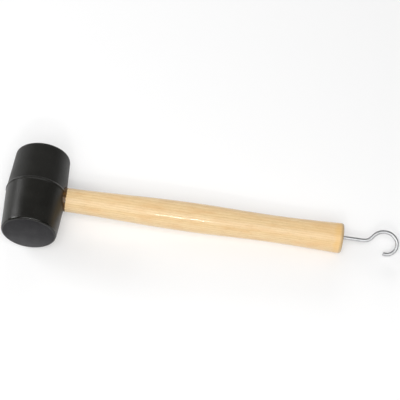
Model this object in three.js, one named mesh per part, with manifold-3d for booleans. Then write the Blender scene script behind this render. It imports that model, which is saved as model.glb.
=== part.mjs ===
// Rubber mallet: a moulded rubber head on a turned wooden handle, with a steel wire hook in the butt.
// Millimetres, +Z up. The mallet is drawn about the point where the handle's axis crosses the head's: the
// handle runs along +X and the head's own axis along Y. It is then laid on its side, so that the bead round
// the head and the rim of the butt rest on Z = 0.
import * as THREE from 'three';
import { mergeVertices } from 'three/addons/utils/BufferGeometryUtils.js';
import Module from 'manifold-3d';

const wasm = await Module();
wasm.setup();

// ---- driving dimensions ----
const GAP = 0.3; // clearance between pieces that touch
const OVERRUN = 1; // how far a cutting shape runs past the surface that it cuts
const WELD = 0.01; // how far two shapes run into each other where they are joined into one piece

const HEAD = {
  length: 90, // face to face
  middleY: 0.6, // the middle of the head, past the handle's axis
  waistRadius: 29.7, // where the two tapers meet
  faceRadius: 27, // at the faces, before the edges are rounded
  edgeRadius: 2, // rounding of the striking edges
  beadY: 2, // moulding bead round the waist
  beadHeight: 0.7,
  beadHalfWidth: 2,
};

const HANDLE = {
  headEndX: -15, // end of the tenon, in the blind eye of the head
  headEndChamfer: 1.5,
  neckRadius: 11.8,
  neckEndX: 20, // the neck starts to swell here
  swellRadius: 14.5,
  swellX: 152,
  waistRadius: 13.3,
  waistX: 240,
  flareRadius: 15.27, // the handle widens toward this radius, which it would reach past the butt
  flareX: 330,
  buttX: 303.5, // flat end of the butt
  buttEdgeRadius: 2.5,
};

const WIRE_RADIUS = 1.85;
const HOOK = {
  offCentre: 1, // the shank stands a little off the axis of the handle
  turn: THREE.MathUtils.degToRad(33), // plane of the hook, turned up from the head's axis about the shank
  shankEndX: 324.6, // the straight shank ends here
  // each bend: radius, angle in degrees, +1 bends away from the shank and -1 back round
  bends: [
    { radius: 9.8, angle: 58, sense: 1 },
    { radius: 13.9, angle: 114, sense: -1 },
    { radius: 10.1, angle: 138, sense: -1 },
  ],
  stations: 64, // rings of facets along the wire
};

const THREAD = {
  length: 22, // threaded shank in the wood
  pointLength: 5, // tapered screw point beyond it
  pointScale: 0.2, // width left at the tip of the point
  pitch: 2.2,
  rootRadius: 1.3,
  stepsPerTurn: 4,
  sides: 16,
};

const ROUND = { head: 80, handle: 48, bore: 40, wire: 12 }; // facets round each piece, always an even number

// ---- materials ----
const rubber = new THREE.MeshStandardMaterial({ color: 0x1d1d1c, roughness: 0.55, metalness: 0 });
const wood = new THREE.MeshStandardMaterial({ color: 0xe3c08c, roughness: 0.4, metalness: 0 });
const platedSteel = new THREE.MeshStandardMaterial({ color: 0xb9bcbd, roughness: 0.25, metalness: 1 });

// ---- helpers ----
// Turns a three.js geometry into a solid, with its shared corners merged.
function toSolid(geometry) {
  const bare = geometry.clone();
  bare.deleteAttribute('normal');
  bare.deleteAttribute('uv');
  const merged = mergeVertices(bare, 1e-4);
  const mesh = new wasm.Mesh({
    numProp: 3,
    vertProperties: new Float32Array(merged.attributes.position.array),
    triVerts: new Uint32Array(merged.index.array),
  });
  return new wasm.Manifold(mesh);
}

// Turns a solid back into a three.js geometry.
function toGeometry(solid) {
  const mesh = solid.getMesh();
  const geometry = new THREE.BufferGeometry();
  geometry.setAttribute('position', new THREE.BufferAttribute(mesh.vertProperties, 3));
  geometry.setIndex(new THREE.BufferAttribute(mesh.triVerts, 1));
  geometry.computeVertexNormals();
  return geometry;
}

// Points of a quarter round from one angle to another, about a centre, as (radius, height) pairs.
function roundCorner(centreR, centreH, radius, fromAngle, toAngle, steps) {
  const points = [];
  for (let i = 0; i <= steps; i += 1) {
    const angle = THREE.MathUtils.lerp(fromAngle, toAngle, i / steps);
    points.push(new THREE.Vector2(centreR + radius * Math.cos(angle), centreH + radius * Math.sin(angle)));
  }
  return points;
}

// A half-cosine blend between two radii.
function blend(x, fromX, fromRadius, toX, toRadius) {
  const t = (x - fromX) / (toX - fromX);
  return fromRadius + (toRadius - fromRadius) * (1 - Math.cos(Math.PI * t)) / 2;
}

// A lathe turned about +X instead of +Y: the profile's height runs along X.
function turnedAlongX(profile, sides) {
  return new THREE.LatheGeometry(profile, sides).rotateZ(-Math.PI / 2);
}

// A cylinder along X between two stations.
function rodAlongX(radius, fromX, toX, sides) {
  return new THREE.CylinderGeometry(radius, radius, toX - fromX, sides)
    .rotateZ(-Math.PI / 2)
    .translate((fromX + toX) / 2, 0, 0);
}

// ---- rubber head ----
function barrelRadius(y) {
  const taper = (HEAD.waistRadius - HEAD.faceRadius) / (HEAD.length / 2);
  return HEAD.waistRadius - taper * Math.abs(y - HEAD.middleY);
}

// A point on the bead, which is half an ellipse in section, at a distance across it from its crest.
function beadPoint(fromCrest) {
  const rise = HEAD.beadHeight * Math.sqrt(1 - (fromCrest / HEAD.beadHalfWidth) ** 2);
  const y = HEAD.beadY + fromCrest;
  return new THREE.Vector2(barrelRadius(y) + rise, y);
}

function headProfile() {
  const frontY = HEAD.middleY - HEAD.length / 2;
  const backY = HEAD.middleY + HEAD.length / 2;
  const edge = HEAD.edgeRadius;
  const edgeSteps = 4;
  const beadSteps = 6;
  const bead = [];
  for (let i = 0; i <= beadSteps; i += 1) {
    bead.push(beadPoint(THREE.MathUtils.lerp(-HEAD.beadHalfWidth, HEAD.beadHalfWidth, i / beadSteps)));
  }
  return [
    new THREE.Vector2(0, frontY),
    ...roundCorner(HEAD.faceRadius - edge, frontY + edge, edge, -Math.PI / 2, 0, edgeSteps),
    ...bead,
    ...roundCorner(HEAD.faceRadius - edge, backY - edge, edge, 0, Math.PI / 2, edgeSteps),
    new THREE.Vector2(0, backY),
  ];
}

function makeHead() {
  const barrel = toSolid(new THREE.LatheGeometry(headProfile(), ROUND.head));
  const mouthX = HEAD.waistRadius + HEAD.beadHeight + OVERRUN;
  const eye = toSolid(rodAlongX(HANDLE.neckRadius + GAP, HANDLE.headEndX - GAP, mouthX, ROUND.bore));
  return new THREE.Mesh(toGeometry(barrel.subtract(eye)), rubber);
}

// ---- handle ----
function handleRadius(x) {
  if (x <= HANDLE.neckEndX) return HANDLE.neckRadius;
  if (x <= HANDLE.swellX) {
    return blend(x, HANDLE.neckEndX, HANDLE.neckRadius, HANDLE.swellX, HANDLE.swellRadius);
  }
  if (x <= HANDLE.waistX) {
    return blend(x, HANDLE.swellX, HANDLE.swellRadius, HANDLE.waistX, HANDLE.waistRadius);
  }
  return blend(x, HANDLE.waistX, HANDLE.waistRadius, HANDLE.flareX, HANDLE.flareRadius);
}

const buttRimX = HANDLE.buttX - HANDLE.buttEdgeRadius; // the rim, where the rounding of the butt starts
const buttRadius = handleRadius(buttRimX);

function handleProfile() {
  const chamfer = HANDLE.headEndChamfer;
  const points = [
    new THREE.Vector2(0, HANDLE.headEndX),
    new THREE.Vector2(HANDLE.neckRadius - chamfer, HANDLE.headEndX),
    new THREE.Vector2(HANDLE.neckRadius, HANDLE.headEndX + chamfer),
  ];
  const stations = 20;
  for (let i = 0; i < stations; i += 1) {
    const x = THREE.MathUtils.lerp(HANDLE.neckEndX, buttRimX, i / stations);
    points.push(new THREE.Vector2(handleRadius(x), x));
  }
  const edge = HANDLE.buttEdgeRadius;
  points.push(...roundCorner(buttRadius - edge, buttRimX, edge, 0, Math.PI / 2, 4));
  points.push(new THREE.Vector2(0, HANDLE.buttX));
  return points;
}

function makeHandle() {
  const stick = toSolid(turnedAlongX(handleProfile(), ROUND.handle));
  const thread = threadedShank(GAP).rotateX(HOOK.turn);
  const mouth = rodAlongX(WIRE_RADIUS + GAP, -THREAD.pitch / 2, OVERRUN, THREAD.sides).rotateX(HOOK.turn);
  const bore = toSolid(thread).add(toSolid(mouth)).translate(HANDLE.buttX, ...hookCentre());
  return new THREE.Mesh(toGeometry(stick.subtract(bore)), wood);
}

// ---- peg hook ----
function hookCentre() {
  return [HOOK.offCentre * Math.cos(HOOK.turn), HOOK.offCentre * Math.sin(HOOK.turn)];
}

// Radius of the wood-screw thread at a distance behind the butt face, and at an angle round the shank.
function threadRadius(distance, angle, clearance) {
  const turns = distance / THREAD.pitch - angle / (2 * Math.PI);
  const crest = Math.abs(2 * (turns - Math.floor(turns)) - 1); // 1 on the crest, 0 half a turn away
  const full = THREE.MathUtils.lerp(THREAD.rootRadius, WIRE_RADIUS, crest);
  const fadeIn = Math.min(1, distance / THREAD.pitch); // runs out into the plain wire at the butt
  const intoPoint = Math.max(0, distance - (THREAD.length - THREAD.pointLength)) / THREAD.pointLength;
  const taper = THREE.MathUtils.lerp(1, THREAD.pointScale, intoPoint);
  return THREE.MathUtils.lerp(WIRE_RADIUS, full, fadeIn) * taper + clearance;
}

// The threaded shank, pointing into the wood along -X from the origin: a closed grid of rings.
function threadedShank(clearance) {
  const rings = Math.round((THREAD.length / THREAD.pitch) * THREAD.stepsPerTurn);
  const positions = [];
  const indices = [];
  for (let ring = 0; ring <= rings; ring += 1) {
    const distance = (THREAD.length * ring) / rings;
    for (let side = 0; side < THREAD.sides; side += 1) {
      const angle = (2 * Math.PI * side) / THREAD.sides;
      const radius = threadRadius(distance, angle, clearance);
      positions.push(-distance, radius * Math.cos(angle), radius * Math.sin(angle));
    }
  }
  const vertex = (ring, side) => ring * THREAD.sides + (side % THREAD.sides);
  const frontCentre = positions.length / 3;
  positions.push(0, 0, 0);
  positions.push(-THREAD.length - clearance, 0, 0);
  for (let side = 0; side < THREAD.sides; side += 1) {
    for (let ring = 0; ring < rings; ring += 1) {
      const a = vertex(ring, side);
      const b = vertex(ring, side + 1);
      const c = vertex(ring + 1, side + 1);
      const d = vertex(ring + 1, side);
      indices.push(a, c, b, a, d, c);
    }
    indices.push(frontCentre, vertex(0, side), vertex(0, side + 1));
    indices.push(frontCentre + 1, vertex(rings, side + 1), vertex(rings, side));
  }
  const geometry = new THREE.BufferGeometry();
  geometry.setAttribute('position', new THREE.Float32BufferAttribute(positions, 3));
  geometry.setIndex(indices);
  return geometry;
}

// Centreline of the visible wire, drawn flat in (along the shank, across it), as points on its arcs.
function hookRoute() {
  const end = new THREE.Vector2(HOOK.shankEndX - HANDLE.buttX, 0);
  const shankStep = 2;
  const points = [];
  for (let along = 0; along < end.x; along += shankStep) points.push(new THREE.Vector2(along, 0));
  const stepAngle = 9;
  let heading = 0;
  for (const { radius, angle, sense } of HOOK.bends) {
    const steps = Math.round(angle / stepAngle);
    const turn = THREE.MathUtils.degToRad(angle / steps) * sense;
    const chord = 2 * radius * Math.sin(Math.abs(turn) / 2);
    for (let i = 0; i < steps; i += 1) {
      end.x += chord * Math.cos(heading + turn / 2);
      end.y += chord * Math.sin(heading + turn / 2);
      heading += turn;
      points.push(end.clone());
    }
  }
  return points;
}

function makeHook() {
  const points = hookRoute().map((point) => new THREE.Vector3(point.x, point.y, 0));
  const curve = new THREE.CatmullRomCurve3(points, false, 'centripetal');
  const section = new THREE.Shape().absarc(0, 0, WIRE_RADIUS, 0, 2 * Math.PI);
  const curveSegments = ROUND.wire / 2; // an arc is drawn with twice this many sides
  const wire = toSolid(
    new THREE.ExtrudeGeometry(section, { extrudePath: curve, steps: HOOK.stations, curveSegments }),
  );
  const shank = toSolid(threadedShank(0)).translate(WELD, 0, 0);
  const mesh = new THREE.Mesh(toGeometry(wire.add(shank)), platedSteel);
  mesh.position.set(HANDLE.buttX, ...hookCentre());
  mesh.rotation.x = HOOK.turn;
  return mesh;
}

// ---- assembly ----
const mallet = new THREE.Group();
const pieces = {
  rubber_head: makeHead(),
  handle: makeHandle(),
  peg_hook: makeHook(),
};
for (const [name, mesh] of Object.entries(pieces)) {
  mesh.name = name;
  mallet.add(mesh);
}

// Lay it down: the head's bead stands higher than the butt, so the handle slopes down toward the butt.
const restRadius = barrelRadius(HEAD.beadY) + HEAD.beadHeight;
mallet.rotation.y = Math.asin((restRadius - buttRadius) / buttRimX);
mallet.updateMatrixWorld(true);
const box = new THREE.Box3().setFromObject(mallet, true);
const object = new THREE.Group();
mallet.position.set(-(box.min.x + box.max.x) / 2, -(box.min.y + box.max.y) / 2, -box.min.z);
object.add(mallet);

export default object;
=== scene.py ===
import math

import bmesh
import bpy
from mathutils import Matrix, Vector, noise


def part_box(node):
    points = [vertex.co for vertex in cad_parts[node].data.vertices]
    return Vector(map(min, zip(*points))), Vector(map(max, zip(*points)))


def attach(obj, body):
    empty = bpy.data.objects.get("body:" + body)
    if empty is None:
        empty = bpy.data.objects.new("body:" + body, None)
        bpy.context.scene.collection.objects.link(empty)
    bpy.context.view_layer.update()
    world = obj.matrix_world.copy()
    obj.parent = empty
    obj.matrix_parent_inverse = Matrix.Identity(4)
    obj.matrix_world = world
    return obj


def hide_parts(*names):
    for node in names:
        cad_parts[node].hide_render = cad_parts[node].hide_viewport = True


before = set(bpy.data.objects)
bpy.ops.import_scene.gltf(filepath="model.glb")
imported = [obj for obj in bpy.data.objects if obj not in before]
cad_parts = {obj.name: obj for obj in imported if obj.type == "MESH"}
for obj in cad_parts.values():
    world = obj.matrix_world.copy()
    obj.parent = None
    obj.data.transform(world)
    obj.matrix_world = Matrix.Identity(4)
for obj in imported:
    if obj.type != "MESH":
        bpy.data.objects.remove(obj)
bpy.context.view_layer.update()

MM = 0.001
TURN = 2 * math.pi

# ---- driving dimensions, in millimetres ----
HEAD_LENGTH = 90
HEAD_MIDDLE = 0.6  # the middle of the head, past the handle's axis
HEAD_WAIST_RADIUS = 29.7
HEAD_FACE_RADIUS = 27
HEAD_EDGE_RADIUS = 2
HEAD_FACE_CROWN = 0.35  # how far the middle of a striking face stands past its rim
BEAD_Y = 2
BEAD_HEIGHT = 0.7
BEAD_HALF_WIDTH = 2
EYE_RADIUS = 11.9
EYE_LIP = 0.9  # rounding of the mouth of the eye
EYE_ROOM = 0.3  # left past the end of the handle, at the bottom of the blind eye

HANDLE_END = -15
HANDLE_END_CHAMFER = 1.5
NECK_RADIUS = 11.8
NECK_END = 20
SWELL_RADIUS = 14.5
SWELL_X = 152
WAIST_RADIUS = 13.3
WAIST_X = 240
FLARE_RADIUS = 15.27  # the handle widens toward this radius, which it would reach past the butt
FLARE_X = 330
BUTT_X = 303.5
BUTT_EDGE_RADIUS = 2.5
BUTT_RIM_X = BUTT_X - BUTT_EDGE_RADIUS
GLUE_EDGE = 30.2  # the glue squeezed out at the joint ends here on the wood
GLUE_RISE = 0.15
GLUE_WIDTH = 1.8

WIRE_RADIUS = 1.85
HOOK_OFF_CENTRE = 1
HOOK_TURN = math.radians(33)
SHANK_END = 324.6
HOOK_BENDS = ((9.8, 58, 1), (13.9, 114, -1), (10.1, 138, -1))  # radius, degrees, 1 away or -1 back
THREAD_LENGTH = 22
THREAD_PITCH = 2.2
THREAD_ROOT_RADIUS = 1.3
THREAD_CREST = 1.3  # above 1, the valleys of the thread are wider than its crests
THREAD_POINT = 5
THREAD_POINT_SCALE = 0.1  # width left at the tip of the screw's point
BORE_RADIUS = 2.0
BORE_DEPTH = 23.5
BORE_MOUTH_RADIUS = 2.7

# ---- colours, as linear red, green and blue ----
RUBBER_BLACK = (0.0075, 0.0073, 0.006)
RUBBER_BLOOM = (0.0115, 0.0112, 0.0093)
RUBBER_DUST = (0.035, 0.034, 0.031)
# painted reflection of the handle, brown on the rubber round the eye
RUBBER_HANDLE_REFLECTION = (0.06, 0.034, 0.012)
# painted light on the striking faces, palest at the bottom and darkest at the top
FACE_PAINTED_LIGHT_PALE = (0.074, 0.073, 0.076)
FACE_PAINTED_LIGHT_GREY = (0.0325, 0.0318, 0.034)
FACE_PAINTED_LIGHT_BLACK = (0.0095, 0.009, 0.0105)
SCRATCH_GREY = (0.09, 0.09, 0.088)
WOOD_EARLY = (0.84, 0.635, 0.36)
WOOD_MIDDLE = (0.775, 0.56, 0.295)
WOOD_LATE = (0.68, 0.465, 0.225)
WOOD_TAN = (0.73, 0.46, 0.21)
WOOD_STREAK = (0.50, 0.30, 0.13)
WOOD_FIBRE = (0.86, 0.66, 0.41)
WOOD_PORE = (0.33, 0.185, 0.075)
LACQUER_GOLD = (0.78, 0.50, 0.22)
LACQUER_AMBER = (0.78, 0.47, 0.15)
LACQUER_BROWN = (0.47, 0.34, 0.19)
GLUE_DARK = (0.05, 0.022, 0.003)
GLUE_BROWN = (0.13, 0.062, 0.012)
PLATE_CLOUDY = (0.57, 0.575, 0.58)
PLATE_BRIGHT = (0.72, 0.725, 0.73)
PAPER = (0.68, 0.68, 0.68)
WHITE = (1, 1, 1)


# ---- helpers ----
def lerp(a, b, t):
    return a + (b - a) * t


def smooth_step(t):
    t = min(1, max(0, t))
    return t * t * (3 - 2 * t)


def half_cosine(x, x0, r0, x1, r1):
    """Blends between two radii the way a turned swell does."""
    return r0 + (r1 - r0) * (1 - math.cos(math.pi * (x - x0) / (x1 - x0))) / 2


def wobble(point, scale, amount, seed):
    """A small smooth unevenness, the same on every run."""
    away = Vector((seed, seed * 1.7, seed * 2.3))
    return amount * noise.noise(Vector(point) / scale + away)


def skin(name, rings, material=None):
    """Skins a list of rings of points into one closed tube, as a new object."""
    bm = bmesh.new()
    made = [[bm.verts.new(point) for point in ring] for ring in rings]
    for first, second in zip(made, made[1:]):
        for i in range(len(first)):
            j = (i + 1) % len(first)
            bm.faces.new((first[i], first[j], second[j], second[i]))
    for ring, points in ((made[0], rings[0]), (made[-1], rings[-1])):
        middle = bm.verts.new(sum((Vector(point) for point in points), Vector()) / len(points))
        for i in range(len(ring)):
            bm.faces.new((ring[i], ring[(i + 1) % len(ring)], middle))
    bmesh.ops.recalc_face_normals(bm, faces=bm.faces)
    mesh = bpy.data.meshes.new(name)
    bm.to_mesh(mesh)
    bm.free()
    if material:
        mesh.materials.append(material)
    piece = bpy.data.objects.new(name, mesh)
    bpy.context.scene.collection.objects.link(piece)
    return piece


def cut(piece, cutter):
    """Cuts one piece out of another and keeps the result as plain mesh."""
    modifier = piece.modifiers.new("cut", "BOOLEAN")
    modifier.operation = "DIFFERENCE"
    modifier.solver = "EXACT"
    modifier.object = cutter
    graph = bpy.context.evaluated_depsgraph_get()
    result = bpy.data.meshes.new_from_object(piece.evaluated_get(graph))
    piece.modifiers.remove(modifier)
    piece.data = result
    bpy.data.objects.remove(cutter)


def finish_piece(piece, node):
    """Shades a piece, lays it down with the mallet and ties it to the frame."""
    sharp_angle = math.radians(35)
    piece.data.shade_smooth()
    piece.data.set_sharp_from_angle(angle=sharp_angle)
    piece.data.transform(TO_ROW)
    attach(piece, "root")
    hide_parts(node)


# ---- the mallet's own outlines ----
def barrel_radius(y):
    taper = (HEAD_WAIST_RADIUS - HEAD_FACE_RADIUS) / (HEAD_LENGTH / 2)
    return HEAD_WAIST_RADIUS - taper * abs(y - HEAD_MIDDLE)


def bead_rise(y):
    """The moulding bead round the waist: a low round, blended in at its feet."""
    t = abs(y - BEAD_Y) / BEAD_HALF_WIDTH
    return BEAD_HEIGHT * (1 - smooth_step(t)) if t < 1 else 0


def handle_radius(x):
    if x <= NECK_END:
        return NECK_RADIUS
    if x <= SWELL_X:
        return half_cosine(x, NECK_END, NECK_RADIUS, SWELL_X, SWELL_RADIUS)
    if x <= WAIST_X:
        return half_cosine(x, SWELL_X, SWELL_RADIUS, WAIST_X, WAIST_RADIUS)
    return half_cosine(x, WAIST_X, WAIST_RADIUS, FLARE_X, FLARE_RADIUS)


# ---- where the mallet lies ----
head_low, head_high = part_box("rubber_head")
head_radius = (head_high.z - head_low.z) / 2
head_middle_y = (head_low.y + head_high.y) / 2
PITCH = math.asin((head_radius / MM - handle_radius(BUTT_RIM_X)) / BUTT_RIM_X)
ORIGIN = Vector((head_low.x + head_radius, head_middle_y - HEAD_MIDDLE * MM, head_low.z + head_radius))
LAY = Matrix.Translation(ORIGIN) @ Matrix.Rotation(PITCH, 4, "Y")
TO_ROW = LAY @ Matrix.Scale(MM, 4)


# ---- materials ----
class Nodes:
    """Short-hand for building one material's nodes, on the mallet's own coordinates in millimetres."""

    def __init__(self, name):
        self.material = bpy.data.materials.new(name)
        self.material.use_nodes = True
        self.tree = self.material.node_tree
        self.shader = self.tree.nodes["Principled BSDF"]

    def add(self, kind, **settings):
        node = self.tree.nodes.new(kind)
        for key, value in settings.items():
            setattr(node, key, value)
        return node

    def link(self, source, target):
        self.tree.links.new(source, target)

    def place(self, stretch=(1, 1, 1), shift=(0, 0, 0)):
        """The mallet's own coordinates, divided by stretch and then shifted."""
        coordinates = self.add("ShaderNodeTexCoord")
        own = self.add("ShaderNodeMapping", vector_type="TEXTURE")
        own.inputs["Location"].default_value = ORIGIN
        own.inputs["Rotation"].default_value = (0, PITCH, 0)
        own.inputs["Scale"].default_value = (MM, MM, MM)
        self.link(coordinates.outputs["Object"], own.inputs["Vector"])
        scaled = self.add("ShaderNodeMapping", vector_type="POINT")
        scaled.inputs["Location"].default_value = shift
        scaled.inputs["Scale"].default_value = tuple(1 / s for s in stretch)
        self.link(own.outputs["Vector"], scaled.inputs["Vector"])
        return scaled.outputs["Vector"]

    def axis(self, letter):
        """One of the mallet's own coordinates."""
        split = self.add("ShaderNodeSeparateXYZ")
        self.link(self.place(), split.inputs["Vector"])
        return split.outputs[letter]

    def noise(self, size, shift=(0, 0, 0), detail=3, roughness=0.5):
        """Soft noise around 0.5. Size is how large its blotches are, or one size for each axis."""
        stretch = size if isinstance(size, tuple) else (size, size, size)
        node = self.add("ShaderNodeTexNoise")
        node.inputs["Scale"].default_value = 1
        node.inputs["Detail"].default_value = detail
        node.inputs["Roughness"].default_value = roughness
        self.link(self.place(stretch, shift), node.inputs["Vector"])
        return node.outputs["Fac"]

    def ramp(self, value, *stops):
        node = self.add("ShaderNodeValToRGB")
        elements = node.color_ramp.elements
        while len(elements) < len(stops):
            elements.new(0.5)
        for element, (position, colour) in zip(elements, stops):
            element.position = position
            element.color = (*colour, 1)
        self.link(value, node.inputs["Fac"])
        return node.outputs["Color"]

    def mix(self, factor, a, b):
        node = self.add("ShaderNodeMix", data_type="RGBA")
        self.feed(factor, node.inputs["Factor"])
        self.feed(a, node.inputs["A"])
        self.feed(b, node.inputs["B"])
        return node.outputs["Result"]

    def math(self, operation, *values):
        node = self.add("ShaderNodeMath", operation=operation)
        for value, socket in zip(values, node.inputs):
            self.feed(value, socket)
        return node.outputs["Value"]

    def span(self, value, over, to):
        """Carries a value over one span on to another, and holds it at the ends."""
        node = self.add("ShaderNodeMapRange")
        self.feed(value, node.inputs["Value"])
        for number, key in zip((*over, *to), ("From Min", "From Max", "To Min", "To Max")):
            node.inputs[key].default_value = number
        return node.outputs["Result"]

    def bump(self, height, strength, distance, under=None):
        """Relief of a height in millimetres, over another relief if one is given."""
        node = self.add("ShaderNodeBump")
        node.inputs["Strength"].default_value = strength
        node.inputs["Distance"].default_value = distance * MM
        self.link(height, node.inputs["Height"])
        if under:
            self.link(under, node.inputs["Normal"])
        return node.outputs["Normal"]

    def feed(self, value, socket):
        """Links a socket, or sets it to a number or a colour."""
        if isinstance(value, bpy.types.NodeSocket):
            self.link(value, socket)
        elif isinstance(value, (int, float)):
            socket.default_value = value
        else:
            socket.default_value = (*value, 1)

    def set(self, **values):
        for key, value in values.items():
            self.feed(value, self.shader.inputs[key.replace("_", " ")])


def painted_handle_reflection(nodes):
    """A faint patchy brown on the rubber round the mouth of the eye: a painted reflection of the handle."""
    flatten_x = 1e6  # so large that X drops out
    ragged = 6
    fade = (9, 14)
    strength = 0.6
    from_axis = nodes.add("ShaderNodeVectorMath", operation="LENGTH")
    nodes.link(nodes.place(stretch=(flatten_x, 1, 1)), from_axis.inputs[0])
    patchy = nodes.noise(size=3, shift=(6, 2, 9))
    reach = nodes.math("MULTIPLY_ADD", patchy, -ragged, from_axis.outputs["Value"])
    on_mouth_side = nodes.math("GREATER_THAN", nodes.axis("X"), 0)
    return nodes.math("MULTIPLY", on_mouth_side, nodes.span(reach, over=fade, to=(strength, 0)))


def rubber_roughness(nodes, cloudy, grain):
    """Satin, duller behind the bead and shinier on the rounded edges of the faces."""
    cloudy_share = 0.7
    grain_part = nodes.math("MULTIPLY", grain, 1 - cloudy_share)
    patchy = nodes.math("MULTIPLY_ADD", cloudy, cloudy_share, grain_part)
    satin = nodes.span(patchy, over=(0.3, 0.7), to=(0.34, 0.42))
    duller = nodes.span(nodes.axis("Y"), over=(BEAD_Y - 1, BEAD_Y + 8), to=(0, 0.12))
    from_middle = nodes.math("ABSOLUTE", nodes.math("SUBTRACT", nodes.axis("Y"), HEAD_MIDDLE))
    edge = HEAD_LENGTH / 2 - HEAD_FACE_CROWN - HEAD_EDGE_RADIUS
    shinier = nodes.span(from_middle, over=(edge - 0.5, edge + 0.3), to=(0, 0.2))
    return nodes.math("ADD", satin, nodes.math("SUBTRACT", duller, shinier))


def make_rubber():
    """Black moulded rubber, finely pitted, with a faint grey bloom and a few specks of dust."""
    nodes = Nodes("moulded_rubber")
    cloudy = nodes.noise(size=14, detail=4)
    bloom = nodes.ramp(cloudy, (0.35, RUBBER_BLACK), (0.75, RUBBER_BLOOM))
    specks = nodes.noise(size=0.9, shift=(31, 7, 3), detail=1)
    dusty = nodes.mix(nodes.span(specks, over=(0.62, 0.74), to=(0, 0.4)), bloom, RUBBER_DUST)
    pits = nodes.noise(size=0.35, roughness=0.6)
    grain = nodes.noise(size=2.6, shift=(5, 9, 2))
    fine = nodes.bump(pits, strength=0.5, distance=0.05)
    # painted reflection of the handle, brown round the mouth of the eye
    nodes.set(Base_Color=nodes.mix(painted_handle_reflection(nodes), dusty, RUBBER_HANDLE_REFLECTION),
              Roughness=rubber_roughness(nodes, cloudy, grain), IOR=1.45,
              Normal=nodes.bump(grain, strength=0.5, distance=0.18, under=fine))
    return nodes.material


def make_struck_rubber():
    """The striking faces: the same rubber, dulled by blows, with painted light that leaves each face pale
    grey at its bottom and near black at its top, and a few grey scratches.
    """
    nodes = Nodes("struck_rubber")
    ragged = 10
    cloudy = nodes.noise(size=9, shift=(2, 6, 4), detail=4)
    height = nodes.math("MULTIPLY_ADD", cloudy, ragged, nodes.axis("Z"))
    # painted light: each face is paler toward its bottom and darker toward its top, with a ragged edge
    painted_light_gradient = nodes.span(height, over=(-22, 32), to=(0, 1))
    painted_light_face = nodes.ramp(painted_light_gradient, (0, FACE_PAINTED_LIGHT_PALE), (0.42, FACE_PAINTED_LIGHT_GREY), (1, FACE_PAINTED_LIGHT_BLACK))
    scratches = nodes.noise(size=(0.5, 3, 5), shift=(7, 1, 5), roughness=0.65)
    colour = nodes.mix(nodes.span(scratches, over=(0.6, 0.8), to=(0, 0.5)), painted_light_face, SCRATCH_GREY)
    grain = nodes.noise(size=1.1, shift=(5, 9, 2), detail=4)
    nodes.set(Base_Color=colour, Roughness=nodes.span(cloudy, over=(0.3, 0.7), to=(0.55, 0.68)), IOR=1.45,
              Specular_IOR_Level=0.2, Normal=nodes.bump(grain, strength=0.35, distance=0.1))
    return nodes.material


def wood_figure(nodes):
    """Lengthwise growth lines, as a value from 0 in the pale early wood to 1 in the darker late wood."""
    pith_shift = (0, 31, 22)
    ring_share = 0.6
    wander = nodes.noise(size=(30, 6, 6))
    rings = nodes.add("ShaderNodeTexWave", wave_type="RINGS", rings_direction="X", wave_profile="SAW")
    rings.inputs["Scale"].default_value = 0.145
    rings.inputs["Distortion"].default_value = 3.2
    rings.inputs["Detail"].default_value = 2
    rings.inputs["Detail Scale"].default_value = 0.25
    nodes.link(nodes.place(stretch=(14, 1, 1), shift=pith_shift), rings.inputs["Vector"])
    rest = nodes.math("MULTIPLY", wander, 1 - ring_share)
    return nodes.math("MULTIPLY_ADD", rings.outputs["Fac"], ring_share, rest)


def wood_colour(nodes, streaks, fibres):
    """Pale wood with its growth lines, tan patches, streaks, fibres and short dark pores."""
    base = nodes.ramp(wood_figure(nodes), (0.1, WOOD_EARLY), (0.5, WOOD_MIDDLE), (0.9, WOOD_LATE))
    broad = nodes.noise(size=(24, 6, 6), shift=(3, 1, 8))
    tinted = nodes.mix(nodes.span(broad, over=(0.45, 0.68), to=(0, 0.7)), base, WOOD_TAN)
    streaked = nodes.mix(nodes.span(streaks, over=(0.52, 0.75), to=(0, 0.5)), tinted, WOOD_STREAK)
    fibred = nodes.mix(nodes.span(fibres, over=(0.35, 0.75), to=(0, 0.28)), streaked, WOOD_FIBRE)
    pores = nodes.noise(size=(3.6, 0.16, 0.16), shift=(9, 2, 6), detail=1)
    return nodes.mix(nodes.span(pores, over=(0.66, 0.74), to=(0, 0.55)), fibred, WOOD_PORE)


def butt_tint(nodes, colour):
    """Lacquer gathers at the butt: the wood goes golden toward it, amber in a band, and brown on the rim."""
    ragged = 6
    x = nodes.axis("X")
    patchy = nodes.noise(size=(3, 4, 4), shift=(2, 7, 1))
    ragged_x = nodes.math("MULTIPLY_ADD", patchy, ragged, x)
    # place, where each tint begins and is full (both before the end of the butt), strength and colour
    tints = ((x, 60, 12, 0.3, LACQUER_GOLD),
             (ragged_x, 7, 4, 0.45, LACQUER_AMBER),
             (x, 3.6, 2, 0.65, LACQUER_BROWN))
    for place, begins, full, strength, tint in tints:
        cover = nodes.span(place, over=(BUTT_X - begins, BUTT_X - full), to=(0, strength))
        colour = nodes.mix(cover, colour, tint)
    return colour


def glue_cover(nodes):
    """1 on the wood that the squeezed-out glue covers, with a slightly ragged edge, and 0 past it."""
    ragged = 1.6
    fade = (GLUE_EDGE + 0.6, GLUE_EDGE + 1.1)
    patchy = nodes.noise(size=1.6, shift=(3, 3, 3))
    reach = nodes.math("MULTIPLY_ADD", patchy, ragged, nodes.axis("X"))
    return nodes.span(reach, over=fade, to=(1, 0))


def glue_colour(nodes):
    """Dried brown glue, darker where it is thick."""
    thick = nodes.noise(size=2.5, shift=(1, 8, 5), detail=2)
    return nodes.ramp(thick, (0.35, GLUE_DARK), (0.65, GLUE_BROWN))


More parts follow.
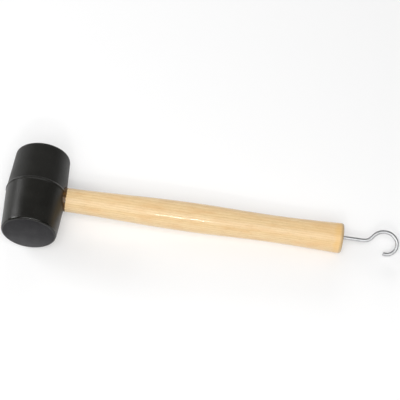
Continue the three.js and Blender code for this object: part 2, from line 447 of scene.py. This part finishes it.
def make_lacquered_wood():
    """Pale, close-grained wood under a thin clear lacquer, with brown glue at the joint."""
    nodes = Nodes("lacquered_wood")
    streaks = nodes.noise(size=(9, 0.9, 0.9), detail=4, roughness=0.62)
    fibres = nodes.noise(size=(4, 0.3, 0.3), shift=(4, 4, 4), roughness=0.7)
    ripple = nodes.noise(size=(9, 2.2, 2.2), shift=(2, 2, 2), detail=2)
    tinted = butt_tint(nodes, wood_colour(nodes, streaks, fibres))
    nodes.set(Base_Color=nodes.mix(glue_cover(nodes), tinted, glue_colour(nodes)),
              Roughness=nodes.span(streaks, over=(0.3, 0.75), to=(0.42, 0.55)), IOR=1.45,
              Coat_Weight=0.6, Coat_Roughness=0.07, Coat_IOR=1.48,
              Normal=nodes.bump(fibres, strength=0.3, distance=0.05),
              Coat_Normal=nodes.bump(ripple, strength=0.3, distance=0.06))
    return nodes.material


def make_plated_steel():
    """Bright zinc plate on drawn wire, a little cloudy and dulled in patches."""
    nodes = Nodes("plated_steel")
    cloudy = nodes.noise(size=5, detail=4)
    fine = nodes.noise(size=0.5, shift=(8, 3, 1))
    nodes.set(Base_Color=nodes.ramp(cloudy, (0.3, PLATE_CLOUDY), (0.7, PLATE_BRIGHT)),
              Metallic=1, Specular_Tint=(0.5, 0.5, 0.5),
              Roughness=nodes.span(cloudy, over=(0.3, 0.7), to=(0.36, 0.46)),
              Normal=nodes.bump(fine, strength=0.25, distance=0.03))
    return nodes.material


# ---- rubber head ----
def face_and_edge_profile():
    """(distance from the middle of the head, radius) pairs over one striking face and its rounded edge."""
    face_rings = 10
    edge_steps = 14
    end = HEAD_LENGTH / 2
    edge_middle = end - HEAD_FACE_CROWN - HEAD_EDGE_RADIUS
    flat_radius = HEAD_FACE_RADIUS - HEAD_EDGE_RADIUS
    pairs = []
    for i in range(1, face_rings + 1):
        radius = flat_radius * i / face_rings
        pairs.append((end - HEAD_FACE_CROWN * (radius / flat_radius) ** 2, radius))
    for i in range(1, edge_steps + 1):
        angle = math.pi / 2 * i / edge_steps
        out = edge_middle + HEAD_EDGE_RADIUS * math.cos(angle)
        pairs.append((out, flat_radius + HEAD_EDGE_RADIUS * math.sin(angle)))
    return pairs


def head_profile():
    """(y, radius) pairs from the middle of one striking face to the middle of the other."""
    side_step = 1.1
    bead_step = 0.22
    half = face_and_edge_profile()
    front = [(HEAD_MIDDLE - out, radius) for out, radius in half]
    back = [(HEAD_MIDDLE + out, radius) for out, radius in reversed(half)]
    side = []
    y = front[-1][0] + side_step
    while y < back[0][0] - side_step / 2:
        side.append((y, barrel_radius(y) + bead_rise(y)))
        near_bead = abs(y - BEAD_Y) < BEAD_HALF_WIDTH + side_step
        y += bead_step if near_bead else side_step
    return front + side + back


def eye_ring(radius, depth):
    """A ring round the handle's axis, at one depth below the curved surface of the head."""
    sides = 120
    points = []
    for i in range(sides):
        angle = TURN * i / sides
        y = radius * math.cos(angle)
        z = radius * math.sin(angle)
        surface = math.sqrt((barrel_radius(y) + bead_rise(y)) ** 2 - z * z)
        points.append((surface - depth, y, z))
    return points


def eye_cutter():
    """The blind eye for the handle, flared at its mouth to round the rubber's edge."""
    lip_steps = 6
    overlap = 0.01
    overrun = 3
    bottom = HANDLE_END - EYE_ROOM
    rings = [[(bottom, y, z) for _, y, z in eye_ring(EYE_RADIUS, 0)]]
    for i in range(lip_steps + 1):
        angle = math.pi / 2 * i / lip_steps
        radius = EYE_RADIUS + EYE_LIP * (1 - math.cos(angle))
        rings.append(eye_ring(radius, EYE_LIP * (1 - math.sin(angle)) - overlap))
    rings.append(eye_ring(EYE_RADIUS + EYE_LIP, -overrun))
    return skin("eye_cutter", rings)


def make_head(material, face_material):
    sides = 288
    drum_radius = 30
    rings = []
    for y, radius in head_profile():
        along = Vector((0, y, 0))
        ring = []
        for i in range(sides):
            angle = TURN * i / sides
            outward = Vector((math.cos(angle), 0, math.sin(angle)))
            uneven = wobble(outward * drum_radius + along, scale=16, amount=0.12, seed=3)
            ring.append(along + outward * (radius + uneven * min(1, radius / HEAD_FACE_RADIUS)))
        rings.append(ring)
    head = skin("head", rings, material)
    cut(head, eye_cutter())
    head.data.materials.append(face_material)
    for face in head.data.polygons:
        if abs(face.center.y - HEAD_MIDDLE) > HEAD_LENGTH / 2 - HEAD_FACE_CROWN:
            face.material_index = 1
    finish_piece(head, "rubber_head")


# ---- handle ----
def glue_rise(x):
    """The low bead of glue round the joint."""
    across = (GLUE_EDGE - x) / GLUE_WIDTH
    return GLUE_RISE * math.sin(math.pi * across) if 0 < across < 1 else 0


def handle_profile():
    """(x, radius) pairs from the head end to the middle of the butt."""
    step = 1.6
    joint_step = 0.3
    edge_steps = 8
    end_rings = 5
    end_radius = NECK_RADIUS - HANDLE_END_CHAMFER
    pairs = [(HANDLE_END, end_radius * i / end_rings) for i in range(1, end_rings + 1)]
    pairs.append((HANDLE_END + HANDLE_END_CHAMFER, NECK_RADIUS))
    x = HANDLE_END + 2 * HANDLE_END_CHAMFER
    while x < BUTT_RIM_X - step / 2:
        pairs.append((x, handle_radius(x) + glue_rise(x)))
        near_joint = abs(x - GLUE_EDGE) < GLUE_WIDTH + step
        x += joint_step if near_joint else step
    butt_radius = handle_radius(BUTT_RIM_X) - BUTT_EDGE_RADIUS
    for i in range(edge_steps + 1):
        angle = math.pi / 2 * i / edge_steps
        x = BUTT_RIM_X + BUTT_EDGE_RADIUS * math.sin(angle)
        pairs.append((x, butt_radius + BUTT_EDGE_RADIUS * math.cos(angle)))
    for i in range(end_rings - 1, 0, -1):
        pairs.append((BUTT_X, butt_radius * i / end_rings))
    return pairs


def bore_cutter():
    """The bore for the hook's thread, broken open a little at its mouth."""
    sides = 40
    overrun = 1
    centre = hook_matrix().translation
    straight_to = 0.9
    # depth below the end of the butt, and how far the mouth is open there
    stations = ((BORE_DEPTH, 0), (straight_to, 0), (0.35, 0.4), (-0.05, 1), (-overrun, 1))
    rings = []
    for depth, opened in stations:
        x = BUTT_X - depth
        radius = lerp(BORE_RADIUS, BORE_MOUTH_RADIUS, opened)
        ring = []
        for i in range(sides):
            angle = TURN * i / sides
            ring.append((x, centre.y + radius * math.cos(angle), centre.z + radius * math.sin(angle)))
        rings.append(ring)
    return skin("bore", rings)


def make_handle(material):
    """The turned stick, true in the eye and very slightly uneven past it, as sanded wood is."""
    sides = 144
    drum_radius = 14
    lengthen = 5
    fade_length = 20
    rings = []
    for x, radius in handle_profile():
        share = smooth_step((x - HEAD_WAIST_RADIUS) / fade_length) * min(1, radius / NECK_RADIUS)
        ring = []
        for i in range(sides):
            angle = TURN * i / sides
            outward = Vector((0, math.cos(angle), math.sin(angle)))
            spot = outward * drum_radius + Vector((x / lengthen, 0, 0))
            uneven = share * wobble(spot, scale=9, amount=0.16, seed=5)
            ring.append(Vector((x, 0, 0)) + outward * (radius + uneven))
        rings.append(ring)
    handle = skin("handle", rings, material)
    cut(handle, bore_cutter())
    finish_piece(handle, "handle")


# ---- peg hook ----
def hook_matrix():
    """From the hook's own flat drawing, at the butt, to the mallet."""
    shift = (BUTT_X, HOOK_OFF_CENTRE * math.cos(HOOK_TURN), HOOK_OFF_CENTRE * math.sin(HOOK_TURN))
    return Matrix.Translation(shift) @ Matrix.Rotation(HOOK_TURN, 4, "X")


def hook_route():
    """Points and headings along the wire's centreline from the butt to its tip."""
    step = 0.5
    shank = SHANK_END - BUTT_X
    count = round(shank / step)
    route = [(shank * i / count, 0, 0) for i in range(count + 1)]
    x, y, heading = route[-1]
    for radius, degrees, sense in HOOK_BENDS:
        count = round(math.radians(degrees) * radius / step)
        turn = sense * math.radians(degrees) / count
        chord = 2 * radius * math.sin(abs(turn) / 2)
        for _ in range(count):
            x += chord * math.cos(heading + turn / 2)
            y += chord * math.sin(heading + turn / 2)
            heading += turn
            route.append((x, y, heading))
    return ease_route(route)


def ease_route(route):
    """Lets each bend run into the next, as bent wire does, by averaging the route over a few steps."""
    reach = 4
    eased = []
    for i in range(len(route)):
        span = min(reach, i, len(route) - 1 - i)
        near = route[i - span:i + span + 1]
        eased.append(tuple(sum(values) / len(near) for values in zip(*near)))
    return eased


def thread_radius(distance, angle):
    """The screw thread's outline, at a distance into the wood and an angle round the shank."""
    turns = distance / THREAD_PITCH - angle / TURN
    crest = abs(2 * (turns - math.floor(turns)) - 1)
    rise = smooth_step(crest * THREAD_CREST - (THREAD_CREST - 1))
    full = lerp(THREAD_ROOT_RADIUS, WIRE_RADIUS, rise)
    run_in = min(1, distance / THREAD_PITCH)
    point = max(0, distance - (THREAD_LENGTH - THREAD_POINT)) / THREAD_POINT
    return lerp(WIRE_RADIUS, full, run_in) * lerp(1, THREAD_POINT_SCALE, point)


def thread_rings(sides):
    steps = 160
    rings = []
    for i in range(steps, 0, -1):
        distance = THREAD_LENGTH * i / steps
        ring = []
        for k in range(sides):
            angle = TURN * k / sides
            radius = thread_radius(distance, angle)
            ring.append(Vector((-distance, radius * math.cos(angle), radius * math.sin(angle))))
        rings.append(ring)
    return rings


def wire_ring(x, y, heading, radius, sides):
    across = Vector((-math.sin(heading), math.cos(heading), 0))
    up = Vector((0, 0, 1))
    ring = []
    for k in range(sides):
        angle = TURN * k / sides
        offset = across * math.cos(angle) + up * math.sin(angle)
        ring.append(Vector((x, y, 0)) + offset * radius)
    return ring


def tip_rings(x, y, heading, sides):
    """The wire's cut end, with its edge broken."""
    burr = 0.35
    end_ring_radius = 0.6
    stations = ((burr * 0.5, WIRE_RADIUS - burr * 0.25), (burr, WIRE_RADIUS - burr), (burr, end_ring_radius))
    return [wire_ring(x + along * math.cos(heading), y + along * math.sin(heading), heading, radius, sides)
            for along, radius in stations]


def make_hook(material):
    sides = 32
    route = hook_route()
    rings = thread_rings(sides)
    rings += [wire_ring(x, y, heading, WIRE_RADIUS, sides) for x, y, heading in route]
    rings += tip_rings(*route[-1], sides)
    hook = skin("hook", rings, material)
    hook.data.transform(hook_matrix())
    finish_piece(hook, "peg_hook")


# ---- stage ----
def make_floor():
    """Pale paper that glows a little, which keeps the shadow on it pale."""
    nodes = Nodes("studio_paper")
    nodes.set(Base_Color=PAPER, Roughness=0.95, Emission_Color=WHITE, Emission_Strength=0.26)
    half_width = 6
    mesh = bpy.data.meshes.new("floor")
    corners = [(x * half_width, y * half_width, 0) for x, y in ((-1, -1), (1, -1), (1, 1), (-1, 1))]
    mesh.from_pydata(corners, [], [(0, 1, 2, 3)])
    mesh.materials.append(nodes.material)
    floor = bpy.data.objects.new("floor", mesh)
    bpy.context.scene.collection.objects.link(floor)


def make_backdrop():
    """A dark studio, which itself looks as pale as the far end of the paper."""
    strength_as_light = 0.12
    strength_as_seen = 0.37
    world = bpy.data.worlds.new("studio")
    world.use_nodes = True
    nodes = world.node_tree.nodes
    links = world.node_tree.links
    backdrop = nodes["Background"]
    backdrop.inputs["Color"].default_value = (*WHITE, 1)
    path = nodes.new("ShaderNodeLightPath")
    strength = nodes.new("ShaderNodeMapRange")
    strength.inputs["To Min"].default_value = strength_as_light
    strength.inputs["To Max"].default_value = strength_as_seen
    links.new(path.outputs["Is Camera Ray"], strength.inputs["Value"])
    links.new(strength.outputs["Result"], backdrop.inputs["Strength"])
    bpy.context.scene.world = world


def add_light(name, azimuth, elevation, distance, size, power, aim=(0, 0, 0.02), in_gloss=True):
    """A soft box turned toward a point in metres: azimuth 0 stands behind the mallet, 90 to its right."""
    lamp = bpy.data.lights.new(name, "AREA")
    lamp.shape = "RECTANGLE"
    lamp.size, lamp.size_y = size
    lamp.energy = power
    turn = math.radians(azimuth)
    rise = math.radians(elevation)
    level = Vector((math.sin(turn), math.cos(turn), 0))
    outward = level * math.cos(rise) + Vector((0, 0, math.sin(rise)))
    light = bpy.data.objects.new(name, lamp)
    light.location = Vector(aim) + outward * distance
    light.rotation_euler = outward.to_track_quat("Z", "Y").to_euler()
    light.visible_glossy = in_gloss
    bpy.context.scene.collection.objects.link(light)


def make_lights():
    """A large soft box in front, and a strip that draws the line along the handle. A box on the left and
    a card behind show in the rubber, and the rest is even fill that leaves no hard shadow."""
    head = (-0.16, 0, 0.03)
    add_light("front_box", azimuth=180, elevation=54, distance=1.7, size=(2.2, 1.5), power=18)
    add_light("front_strip", azimuth=179, elevation=40, distance=1.6, size=(0.22, 0.03), power=2.7)
    add_light("left_box", azimuth=-74, elevation=27, distance=1.3, size=(0.5, 0.35), power=4.6, aim=head)
    add_light("camera_fill", azimuth=180, elevation=57, distance=1.7, size=(0.8, 0.8), power=9.5,
              in_gloss=False)
    add_light("left_fill", azimuth=-90, elevation=40, distance=1.6, size=(0.8, 0.8), power=4, in_gloss=False)
    add_light("back_card", azimuth=0, elevation=25, distance=1.7, size=(1.8, 1.0), power=2.4)
    add_light("back_fill", azimuth=0, elevation=22, distance=1.7, size=(1.0, 0.5), power=8, in_gloss=False)


def make_camera():
    """Stands above and in front of the mallet, a little rolled, at the distance of a product shot."""
    distance = 1568.5
    focal_length = 144
    sensor_width = 36
    aim = Vector((159.84, 14.1, 11.33))
    turn = math.radians(-1.2)
    height = math.radians(57)
    roll = math.radians(9)
    facing = (Matrix.Rotation(turn, 4, "Z") @ Matrix.Rotation(math.pi / 2 - height, 4, "X")
              @ Matrix.Rotation(roll, 4, "Z"))
    back = facing @ Vector((0, 0, 1))
    lens = bpy.data.cameras.new("camera")
    lens.lens = focal_length
    lens.sensor_width = sensor_width
    camera = bpy.data.objects.new("camera", lens)
    camera.matrix_world = LAY @ Matrix.Translation((aim + back * distance) * MM) @ facing
    bpy.context.scene.collection.objects.link(camera)
    bpy.context.scene.camera = camera


# ---- the scene ----
make_head(make_rubber(), make_struck_rubber())
make_handle(make_lacquered_wood())
make_hook(make_plated_steel())
make_floor()
make_backdrop()
make_lights()
make_camera()
bpy.context.scene.view_settings.view_transform = "Standard"
